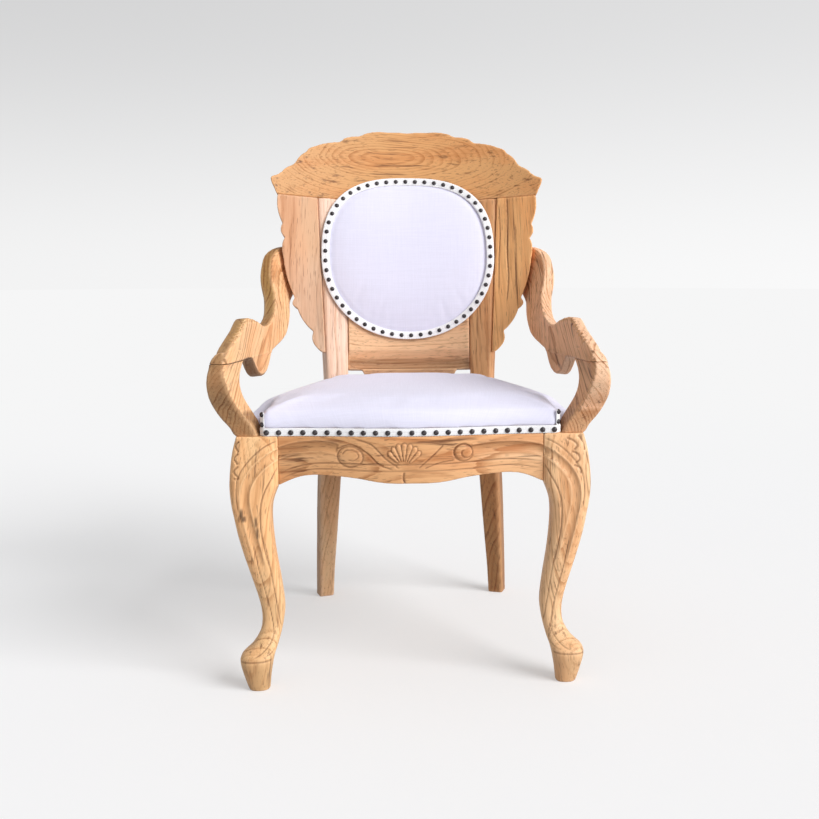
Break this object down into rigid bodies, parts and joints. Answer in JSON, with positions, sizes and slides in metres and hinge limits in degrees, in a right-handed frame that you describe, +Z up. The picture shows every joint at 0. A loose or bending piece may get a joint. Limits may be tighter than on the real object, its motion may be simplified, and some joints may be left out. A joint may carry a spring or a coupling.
{
  "type": "dining armchair",
  "caption": "Carved wooden dining armchair with cabriole front legs, S-shaped arms on scrolled supports, an oval upholstered back and a padded seat edged with domed nails",
  "frame": {"origin": "middle of the bounding box's footprint, on the floor under the four feet", "axes": "+Z up, -Y the side that the sitter faces, +X to the viewer's right when the chair is seen from the front"},
  "size_m": [0.6604, 0.6746, 0.9844],
  "materials": {
    "carved_wood": "bare sanded hardwood with visible grain, a warm tan",
    "plain_wood": "plain sawn hardwood blocks and turned dowels, hidden in use",
    "plywood": "plain plywood under the upholstery",
    "cover_fabric": "fine plain-woven cloth, white with a lavender cast",
    "woven_trim": "flat woven white tape",
    "dark_nail": "domed upholstery nails with a dark antique finish",
    "screw_steel": "plain steel screws"
  },
  "bodies": {
    "root": {"front_leg_left": "carved_wood", "front_leg_right": "carved_wood", "rear_post_left": "carved_wood", "rear_post_right": "carved_wood", "front_rail": "carved_wood", "side_rail_left": "carved_wood", "side_rail_right": "carved_wood", "rear_seat_rail": "carved_wood", "corner_block_front_left": "plain_wood", "corner_block_front_right": "plain_wood", "corner_block_rear_left": "plain_wood", "corner_block_rear_right": "plain_wood", "corner_screws": "screw_steel", "seat_frame_dowels": "plain_wood", "crest_rail": "carved_wood", "side_board_left": "carved_wood", "side_board_right": "carved_wood", "lower_back_rail": "carved_wood", "back_dowels": "plain_wood", "arm_left": "carved_wood", "arm_right": "carved_wood", "arm_support_left": "carved_wood", "arm_support_right": "carved_wood", "arm_dowels": "plain_wood", "back_panel": "plywood", "back_cushion": "cover_fabric", "back_trim": "woven_trim", "back_nails": "dark_nail", "rear_cover": "cover_fabric", "rear_trim": "woven_trim", "seat_board": "plywood", "seat_cushion": "cover_fabric", "seat_trim": "woven_trim", "seat_nails": "dark_nail"}
  },
  "joints": []
}
